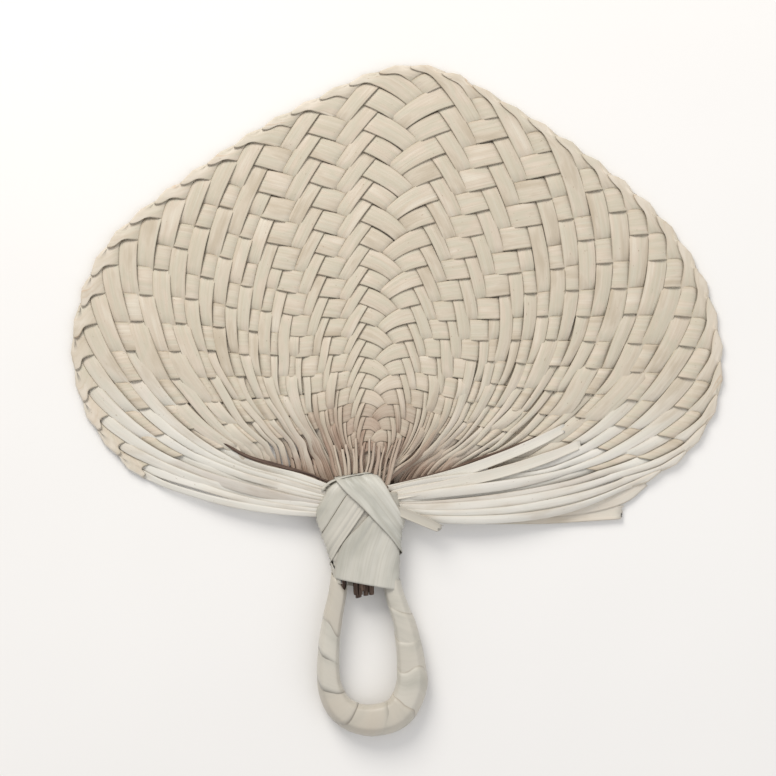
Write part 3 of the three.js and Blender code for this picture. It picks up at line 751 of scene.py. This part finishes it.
neck = {
    "heights": [-20, -13, -9, -1.5, 5, 12, 18, 25, 31],
    "middles": [0.0, 0.0, -0.2, -0.75, -1.5, -2.7, -3.2, -3.3, -1.8],
    "halfWidths": [14.6, 14.9, 15.3, 16.2, 17.0, 18.9, 20.7, 20.9, 18.8],
    "halfDepths": [5.6, 5.7, 5.8, 5.9, 5.9, 5.9, 5.9, 5.8, 5.6],
    "level": 8.0,
    "domeStart": 31.0,
    "domeHeight": 9.4,
    "squareness": 2.4,
}


def neckSizes(y):  # middle, half width and half depth
    return (np.interp(y, neck["heights"], neck[key]) for key in ("middles", "halfWidths", "halfDepths"))


def neckPoint(x, y, lift):  # a place drawn from the front, put on the neck; beyond the sides it goes behind
    x, y, lift = np.broadcast_arrays(np.asarray(x, float), y, lift)
    top = neck["domeStart"] + neck["domeHeight"] + lift
    behind = np.where(y > top, -1.0, 1.0)
    y = np.where(y > top, 2 * top - y, y)
    middle, wide, deep = neckSizes(y)
    dome = np.clip((y - neck["domeStart"]) / (neck["domeHeight"] + lift), 0, 0.9995)
    shrink = np.sqrt(1 - dome ** 2)
    wide, deep = (wide + lift) * shrink, (deep + lift) * shrink
    place = ((x - middle) / wide + 1) % 4 - 1  # -1 to 1 in front, 1 to 3 behind
    behind = np.where(place > 1, -behind, behind)
    place = np.where(place > 1, 2 - place, place)
    n = neck["squareness"]
    rise = np.clip(1 - np.abs(place) ** n, 0, 1) ** (1 / n)
    return together(middle + wide * place, y, neck["level"] + behind * deep * rise)


def ribbonPiece(name, outer, inner, across, along, warm, calm, seed, nodes):
    rings = join([outer, inner[:, ::-1]], axis=1)
    size = outer.shape[1]
    t = join([np.linspace(-1, 1, size), np.linspace(1, -1, size)])
    place = together(across[:, None] * t, along[:, None], seed)
    tone = together(np.asarray(warm, float).reshape(-1, 1), calm, 0.0 * t)
    pieceFromRings(name, rings, place, tone, t, ribbonSkin, nodes)


collar = {
    "steps": 60,
    "waviness": 0.1,
    "raisedFrom": 0.55,
    "folds": 4,  # fold lines along each ribbon
    "foldPlaces": (-0.85, 0.85),
    "foldDepth": 0.22,
    "foldWidth": 0.09,
    "thickness": 0.45,
    "edgeDrop": 0.3,
    "calm": 0.2,
}
collarRibbons = [  # x, y and half width along each, seen from the front; raised: lift of the upper border
    {"name": "neck_sleeve", "nodes": ["neck_binding"], "lift": (-0.5, 0.1), "warm": 0.6,
     "across": 31, "raised": 0.0,
     "path": [(-75, 14, 16), (-40, 16, 16), (-3, 17, 16.5), (30, 16, 16), (62, 14, 16)]},
    {"name": "shoulder_ribbon", "nodes": ["cross_wrap_under"], "lift": (0.5, 0.6), "warm": 0.25,
     "across": 35, "raised": 0.2,
     "path": [(-4, 47, 6.5), (-10, 40, 6.8), (-15.5, 35, 7), (-21, 26.5, 7), (-26.4, 17.7, 6.8),
              (-36, 6, 6.4), (-50, -2, 6)]},
    {"name": "inner_cross_ribbon", "nodes": ["cross_wrap_under"], "lift": (0.9, 1.0), "warm": 0.35,
     "across": 35, "raised": 0.2,
     "path": [(3, 39, 5.8), (-5.4, 27, 5.9), (-11.2, 18.2, 5.7), (-17, 9.5, 5.5), (-25, -2, 5.4),
              (-40, -8, 5)]},
    {"name": "band_roll", "nodes": ["collar_band"], "lift": (0.1, 1.0), "warm": 0.45,
     "across": 23, "raised": 0.0,
     "path": [(-52, 0, 7.6), (-20, -1, 8), (10, -4, 8.6), (30, -6, 8.8), (52, -4, 8.4)]},
    {"name": "band_front", "nodes": ["collar_band"], "lift": (1.3, 1.2), "warm": 0.15,
     "across": 41, "raised": 0.0,
     "path": [(0.0, -12.6, 16.6), (2.6, 1, 15.8), (6.4, 12, 11.0), (9.2, 20, 7.4), (11.5, 27, 5)]},
    {"name": "crown_ribbon", "nodes": ["cross_wrap_over"], "lift": (1.5, 1.7), "warm": 0.0,
     "across": 41, "raised": 0.9,
     "path": [(-18, 56, 7.5), (-13, 49.5, 8), (-8.2, 43.6, 8.2), (-3.2, 38.6, 8.6), (2.2, 33.2, 8.3),
              (9, 24.2, 6.9), (16.5, 14, 5.4), (23.5, 4, 4.8), (32, -4, 4.5)]},
]


def collarRibbon(k, s):
    path = smoothPath(s["path"], collar["steps"])
    side = sideOf(path)[:, :2]
    t = np.linspace(-1, 1, s["across"])
    half = path[:, 2]
    spots = path[:, None, :2] + side[:, None, :] * (half[:, None] * t)[..., None]
    x, y = spots[..., 0], spots[..., 1]
    lift = np.linspace(*s["lift"], len(path)) + collar["waviness"] * pathWander(path, 9.0, 70 + k)
    crease = collar["waviness"] * np.sin(t * 5.0 + k) + s["raised"] * smoothStep(t, collar["raisedFrom"], 1.0)
    for c in seeded(150 + k).uniform(*collar["foldPlaces"], collar["folds"]):
        crease = crease - collar["foldDepth"] * np.exp(-((t - c) / collar["foldWidth"]) ** 2)
    level = lift[:, None] + crease[None, :]
    outer = neckPoint(x, y, level + collar["thickness"] - collar["edgeDrop"] * np.abs(t) ** 12)
    inner = neckPoint(x, y, level)
    along = runLength(path[:, :2])
    ribbonPiece(s["name"], outer, inner, half, along, s["warm"], collar["calm"], 11.3 + 1.7 * k, s["nodes"])


for k, s in enumerate(collarRibbons):
    collarRibbon(k, s)
print("collar bound")


# Stalks inside the collar, cut off short between the legs of the loop

stalks = {
    "plugHeights": [-2, 2, 8, 16, 24, 31, 36, 38.5],
    "plugInset": -1.1,
    "plugAcross": 17,
    "stems": 11,
    "stemTurn": 2.4,
    "stemLean": 0.06,
    "stemRadius": (1.0, 1.7),
    "stemKnots": 0.12,
    "stemSpread": (4.4, 2.6),
    "stemMiddle": (-1.6, 8.0),
    "stemTop": -4.0,
    "stemBottom": (-19.6, -15.5),
    "stemRings": 6,
    "cutWidth": 0.92,
    "cutSlant": 0.35,
    "sides": 8,
    "splits": 44,  # split stalks that fan out under the plait
    "splitAngles": (-74, 74),
    "splitFoot": 11.0,
    "splitReach": (40.0, 46.0),
    "splitWidth": (2.4, 4.2),
    "splitLevels": (3.6, 2.2, 1.2),
    "splitSway": 0.8,
    "frontSplits": 13,  # brown ones that stand in front, between the collar and the lowest cells
    "frontFeet": (-12.5, 12.0),
    "frontTips": (-17.0, 20.0),
    "frontHeights": (53.0, 60.0),
    "frontWidth": (1.3, 2.5),
    "frontLevels": (8.6, 8.9, 7.3),
    "frontStarts": (34, 45),
    "frontSway": 0.6,
    "frontTilt": 0.3,
    "lipShadowStems": [  # thin dark stems in the hollow above the outer strips, left and right: painted shade that stands in for the shadow line there
        [(-80, 63.5, 2.4), (-65.5, 53.8, 4.0), (-55, 49.2, 5.2), (-42.6, 46, 6.4), (-30, 42.4, 7.4),
         (-17, 37.6, 8.2)],
        [(88, 61.4, 3.0), (66, 52.4, 4.8), (41, 44, 7.0), (16, 36.8, 8.2)],
    ],
    "lipShadowStemSize": (1.7, 0.9),
    "lipSway": 0.4,
    "lipPlay": 0.25,
}


def roundPiece(name, rings, seed, skin, nodes, tone=(0.0, 0.0, 0.0)):
    turn = np.linspace(0, 1, rings.shape[1], endpoint=False)
    girth = np.linalg.norm(rings[:, 0] - rings.mean(axis=1), axis=-1)[:, None] * 2 * math.pi
    place = together(girth * np.abs(turn - 0.5), runLength(rings.mean(axis=1))[:, None], seed)
    pieceFromRings(name, rings, place, tone, 0.0, skin, nodes)


def stalkPiece(name, rings, seed):
    roundPiece(name, rings, seed, stalkSkin, ["stalk_bundle"])


def neckFilling():
    s = stalks
    heights = np.array(s["plugHeights"], float)
    middle, wide, _ = neckSizes(heights)
    across = s["plugAcross"]
    spots = join([np.linspace(-1, 1, across), np.linspace(1, 3, across)[1:-1]])  # front and back
    x = middle[:, None] + wide[:, None] * 0.999 * spots
    stalkPiece("neck_filling", neckPoint(x, heights[:, None], s["plugInset"]), 3.1)


def cutStem(k, draw):
    s = stalks
    turn = s["stemTurn"] * k
    spread = math.sqrt((k + 0.5) / s["stems"])
    x, z = s["stemMiddle"] + np.array(s["stemSpread"]) * spread * (math.cos(turn), math.sin(turn))
    radius = draw.uniform(*s["stemRadius"])
    bottom = draw.uniform(*s["stemBottom"])
    lean = draw.uniform(-s["stemLean"], s["stemLean"], 2)
    angles = np.linspace(0, 2 * math.pi, s["sides"], endpoint=False)
    rings = []
    for y in np.linspace(s["stemTop"], bottom, s["stemRings"]):
        cut = y == bottom  # the cut is slanted and a little narrower
        bulge = radius * (1 + s["stemKnots"] * np.sin(3 * angles + k)) * (s["cutWidth"] if cut else 1.0)
        slant = s["cutSlant"] * np.cos(angles + k) if cut else 0.0
        rings.append(together(x + lean[0] * y + bulge * np.cos(angles), y + slant,
                              z + lean[1] * y + bulge * np.sin(angles)))
    stalkPiece("cut_stem_%02d" % (k + 1), np.array(rings), 6.0 + k)


def splitStalk(k, draw):
    s = stalks
    share = (k + draw.uniform(0.2, 0.8)) / s["splits"]
    turn = math.radians(np.interp(share, [0, 1], s["splitAngles"]))
    ray = np.array([math.sin(turn), math.cos(turn)])
    foot = lead["entryCentre"] + ray * s["splitFoot"]
    tip = lead["entryCentre"] + ray * draw.uniform(*s["splitReach"])
    wide = draw.uniform(*s["splitWidth"])
    spots = (foot, (foot + tip) / 2, tip)
    path = smoothPath(np.column_stack([spots, s["splitLevels"]]), 10)
    across = np.array([ray[1], -ray[0], 0.0])
    path += across * s["splitSway"] * pathWander(path, 4.0, 210 + k)[:, None]
    spread = np.linspace(0.4, 1.0, len(path))[:, None] * wide / 2 * np.array([-1.0, 0.0, 1.0, 0.0])
    rings = path[:, None, :] + across * spread[..., None]
    rings[:, :, 2] += np.array([0.0, 0.4, 0.0, -0.3])
    stalkPiece("split_stalk_%02d" % (k + 1), rings, 26.0 + k)


def frontSplit(k, draw):
    s = stalks
    share = (k + draw.uniform(0.1, 0.9)) / s["frontSplits"]
    foot, tip = (np.interp(share, [0, 1], s[key]) for key in ("frontFeet", "frontTips"))
    high = draw.uniform(*s["frontHeights"])
    wide = draw.uniform(*s["frontWidth"])
    low, halfway = s["frontStarts"]
    spots = ((foot, low), (foot * 0.6 + tip * 0.4, halfway), (tip, high))
    path = smoothPath(np.column_stack([spots, s["frontLevels"]]), 12)
    path[:, 0] += s["frontSway"] * pathWander(path, 4.0, 310 + k)
    spread = wide / 2 * np.linspace(1.0, 0.7, len(path))[:, None] * np.array([-1.0, -0.5, 0.5, 1.0, 0.0])
    rings = path[:, None, :] + np.array([1.0, 0.0, 0.0]) * spread[..., None]
    tilt = s["frontTilt"] * spread * draw.uniform(-1, 1)
    rings[:, :, 2] += np.array([0.0, 0.22, 0.22, 0.0, -0.2]) + tilt
    tone = (draw.uniform(0.6, 1.2), 0.0, draw.uniform(0.0, 0.5))
    name = "front_split_%02d" % (k + 1)
    roundPiece(name, rings, 80.0 + k, leafSkin, ["stalk_bundle"], tone)


# painted shade: a thin dark stem laid where the lip of the outer strips shows a dark shadow line
def lipShadowStem(k, points):
    s = stalks
    path = smoothPath(points, 30)
    across = sideOf(path)
    path = path + across * s["lipSway"] * pathWander(path, 5.0, 340 + k)[:, None]
    angles = np.linspace(0, 2 * math.pi, s["sides"], endpoint=False)
    taper = smoothStep(np.linspace(0, 1, len(path)), -0.1, 0.3)
    size = taper * (1 + s["lipPlay"] * pathWander(path, 4.0, 350 + k))
    wide, high = (size[:, None] * d / 2 for d in s["lipShadowStemSize"])
    rings = path[:, None] + across[:, None] * (wide * np.cos(angles))[..., None]
    rings[..., 2] += high * np.sin(angles)
    stalkPiece("shadow_line_stem_%d" % (k + 1), rings, 97.0 + k)


neckFilling()
stalkDraw = seeded(5)
for k in range(stalks["stems"]):
    cutStem(k, stalkDraw)
for k in range(stalks["splits"]):
    splitStalk(k, stalkDraw)
for k in range(stalks["frontSplits"]):
    frontSplit(k, stalkDraw)
for k, points in enumerate(stalks["lipShadowStems"]):
    lipShadowStem(k, points)
print("stalks filled in")


# Handle loop: a core and one ribbon wound round it, each turn lapped over the next

handle = {
    "path": [(-12.4, 3.6, 8), (-12.7, -3, 8), (-13.2, -10, 8), (-14.4, -20, 7.9), (-17.1, -34, 7.6),
             (-18.6, -52, 7.4), (-17.3, -66, 7.3), (-10, -77, 7.2), (3, -80.5, 7.2), (16, -76.5, 7.2),
             (22.3, -64, 7.3), (22, -50, 7.4), (19.3, -34, 7.6), (15.9, -23.5, 7.9), (13.2, -14.5, 8),
             (12.3, -5, 8), (12.0, 3.6, 8)],
    "steps": 1600,
    "halfWidths": [3.1, 4.1, 5.0, 7.3, 7.0, 4.4, 3.0],
    "halfHeights": [3.4, 4.6, 5.1, 5.1, 5.1, 4.7, 3.4],
    "coreSides": 20,
    "coreSteps": 90,
    "turns": 10.4,
    "first": 0.004,
    "final": 0.996,
    "lap": 1.45,
    "clearance": 0.35,
    "rise": 0.3,
    "thickness": 0.3,
    "turnSteps": 50,
    "corners": 5,  # the flat ribbon is folded into facets as it goes round
    "cornerTurn": 97,
    "faceting": 0.65,
    "meanStretch": 0.91,
    "across": 9,
    "tangentReach": 0.8,
    "grainStep": 6.0,
    "waves": (0.24, 0.12),
    "unevenness": 0.08,
    "edgeDrop": 0.22,
    "warm": (0.65, 0.35),
    "calm": 0.75,
}
loopCurve = smoothPath(handle["path"], handle["steps"])
loopLengths = runLength(loopCurve)


def loopPoint(share, turn, offset):
    s = handle
    share, turn, offset = np.broadcast_arrays(np.asarray(share, float), turn, offset)
    reach = np.clip(share, 0, 1) * loopLengths[-1]
    steps = (0.0, s["tangentReach"], -s["tangentReach"])
    middle, ahead, behind = (curveAt(reach + step, loopLengths, loopCurve) for step in steps)
    tangent = unit(ahead - behind)
    side = unit(together(-tangent[..., 1], tangent[..., 0], 0.0))
    up = np.cross(side, tangent)
    spots = np.linspace(0, 1, len(s["halfWidths"]))
    wide = np.interp(share, spots, s["halfWidths"]) + offset
    high = np.interp(share, spots, s["halfHeights"]) + offset
    facet = math.pi / s["corners"]
    fromMiddle = (turn - math.radians(s["cornerTurn"])) % (2 * facet) - facet
    stretch = 1 + s["faceting"] * (math.cos(facet) / np.cos(fromMiddle) - s["meanStretch"])
    wide, high = wide * stretch, high * stretch
    return middle + side * (wide * np.cos(turn))[..., None] + up * (high * np.sin(turn))[..., None]


def handleLoop():
    s = handle
    turns = np.linspace(0, 2 * math.pi, s["coreSides"], endpoint=False)
    rings = loopPoint(np.linspace(0, 1, s["coreSteps"])[:, None], turns[None, :], 0.0)
    roundPiece("loop_core", rings, 2.2, stalkSkin, ["handle_core"])
    pitch = (s["final"] - s["first"]) / (s["turns"] + s["lap"])
    steps = int(s["turns"] * s["turnSteps"])
    turn = np.arange(steps + 1) * 2 * math.pi / s["turnSteps"]
    slow, quick = s["waves"]
    wave = slow * wander(turn, 2.6, 91) + quick * wander(turn, 1.1, 92)
    t = np.linspace(0, 1, s["across"])
    begin = s["first"] + pitch * (turn / (2 * math.pi) + wave)
    share = begin[:, None] + pitch * s["lap"] * t
    offset = s["clearance"] + s["rise"] * t[None, :] ** 1.5
    offset = offset + s["unevenness"] * wander(turn, 1.7, 93)[:, None]
    outer = loopPoint(share, turn[:, None], offset + s["thickness"] - s["edgeDrop"] * t ** 14)
    inner = loopPoint(share, turn[:, None], offset)
    half = np.full(len(turn), pitch * s["lap"] * loopLengths[-1] / 2)
    mean, swing = s["warm"]
    warm = mean + swing * wander(turn, 3.3, 94)
    along = turn * s["grainStep"]
    ribbonPiece("loop_ribbon", outer, inner, half, along, warm, s["calm"], 31.7, ["handle_wrap"])


handleLoop()
print("handle wound")


# Loose ends: the tail of the binding, and strips and tips that lie loose on the right

looseShape = {
    "steps": 36,
    "across": 11,
    "widthPlay": 0.06,
    "twist": 0.25,
    "jag": (0.8, 0.9),  # the cut end isn't square
}
looseLeaf = {"nodes": ["loose_strip"], "thickness": 0.3, "skin": leafSkin, "slot": "cream_leaf"}
looseEnds = [  # x, y, z and half width along each
    {"name": "binding_end", "nodes": ["binding_tail"], "thickness": 0.45, "skin": ribbonSkin,
     "slot": "binding_leaf", "curl": 0.35, "tone": (0.7, 0.0, 0.0),
     "path": [(13, 24.6, 11.0, 2.2), (19.5, 22.4, 12.2, 2.4), (28, 18.9, 12.6, 2.4),
              (36.6, 15.0, 11.8, 2.1)]},
    {**looseLeaf, "name": "hanging_strip", "curl": 0.4, "tone": (0.1, 0.55, 0.35),
     "path": [(17, 23.4, 5.6, 2.0), (36, 20.7, 4.3, 3.2), (62, 20.3, 3.0, 3.6), (94, 20.9, 1.8, 3.9),
              (127.5, 22.4, 1.1, 3.4)]},
    {**looseLeaf, "name": "corner_strip", "curl": -0.3, "tone": (0.1, 0.7, 0.2),
     "path": [(17, 25.4, 6.2, 2.4), (46, 23.6, 4.4, 3.8), (82, 24, 2.9, 4.4), (110, 26.6, 1.9, 4.6),
              (127, 31, 1.5, 4.4), (139, 38.5, 1.2, 3.4)]},
    {**looseLeaf, "name": "upper_loose_tip", "curl": 0.25, "tone": (0.0, 0.8, 0.0),
     "path": [(4, 32.5, 9.4, 2.0), (41, 41, 8.6, 2.6), (66, 49.5, 6.2, 2.6), (84, 57, 4.6, 2.4),
              (98.5, 64.3, 3.4, 2.2)]},
    {**looseLeaf, "name": "lower_loose_tip", "curl": 0.25, "tone": (0.0, 0.7, 0.1),
     "path": [(6, 29.5, 10.0, 2.0), (46, 37.5, 8.6, 2.6), (72, 44, 6.4, 2.7), (92, 50.5, 4.6, 2.5),
              (106.5, 56.4, 3.4, 2.2)]},
]


def looseEnd(k, s):
    path = smoothPath(s["path"], looseShape["steps"])
    run = unit(np.gradient(path[:, :3], axis=0))
    side = unit(together(-run[:, 1], run[:, 0], 0.0))
    t = np.linspace(-1, 1, looseShape["across"])
    half = path[:, 3] * (1 + looseShape["widthPlay"] * pathWander(path, 5.0, 120 + k))
    centre = path[:, None, :3] + side[:, None] * (half[:, None] * t)[..., None]
    twist = looseShape["twist"] * pathWander(path, 7.0, 130 + k)[:, None]
    centre[..., 2] += s["curl"] * t ** 2 - twist * t
    teeth, slant = looseShape["jag"]
    centre[-1] += run[-1] * (teeth * np.sin(t * 7 + k) + slant * t)[:, None]
    up = np.array([0, 0, s["thickness"]])
    rings = join([centre + up, centre[:, ::-1]], axis=1)
    both = join([t, t[::-1]])
    place = together(half[:, None] * both, runLength(path[:, :3])[:, None], 41.3 + k)
    pieceFromRings(s["name"], rings, place, s["tone"], both, s["skin"], s["nodes"])


for k, s in enumerate(looseEnds):
    looseEnd(k, s)
print("loose ends laid")


# Stage

stage = {
    "floor": srgb(236, 234, 230),
    "floorHalfSize": 3.0,
    "floorDrop": 0.0004,
    "world": (0.97, 0.97, 1.0),
    "worldStrength": 0.6,
    "key": {"place": (-0.5, 1.2, 0.95), "size": 0.9, "power": 18.5, "colour": (1.0, 0.97, 0.93)},
    "fill": {"place": (0.9, -0.5, 1.1), "size": 1.6, "power": 6.0, "colour": (0.95, 0.97, 1.0)},
    "photoCentre": (0.011, 0.0845),
    "photoWidth": 0.388,
    "cameraHeight": 1.15,
}


def makeStage():
    half = stage["floorHalfSize"]
    mesh = bpy.data.meshes.new("floor")
    corners = [(-half, -half, 0), (half, -half, 0), (half, half, 0), (-half, half, 0)]
    mesh.from_pydata(corners, [], [(0, 1, 2, 3)])
    floor = addObject("floor", mesh)
    floor.location.z = min(cadLow.z, 0.0) - stage["floorDrop"]
    paper = Finish("pale_floor", Roughness=0.9, Specular_IOR_Level=0.15)
    cloud = paper.noise(paper.node("ShaderNodeTexCoord", out="Object"), 3.0)
    shade = tuple(c * 0.97 for c in stage["floor"])
    paper.set(Base_Color=paper.blend(paper.ramp(cloud, 0.3, 0.7), stage["floor"], shade))
    mesh.materials.append(paper.material)
    world = bpy.data.worlds.new("soft_room")
    scene.world = world
    world.use_nodes = True
    sky = world.node_tree.nodes["Background"]
    sky.inputs["Color"].default_value = (*stage["world"], 1.0)
    sky.inputs["Strength"].default_value = stage["worldStrength"]
    target = Vector((*stage["photoCentre"], 0.0))
    for label in ("key", "fill"):
        s = stage[label]
        light = bpy.data.lights.new(label, "AREA")
        light.shape = "DISK"
        light.size = s["size"]
        light.energy = s["power"]
        light.color = s["colour"]
        lamp = addObject(label, light)
        lamp.location = s["place"]
        lamp.rotation_euler = (target - lamp.location).to_track_quat("-Z", "Y").to_euler()
    lens = bpy.data.cameras.new("overhead")
    lens.sensor_width = 36.0
    lens.lens = lens.sensor_width * stage["cameraHeight"] / stage["photoWidth"]
    camera = addObject("overhead", lens)
    camera.location = (*stage["photoCentre"], stage["cameraHeight"])
    scene.camera = camera
    scene.view_settings.view_transform = "Standard"


makeStage()
print("stage set")
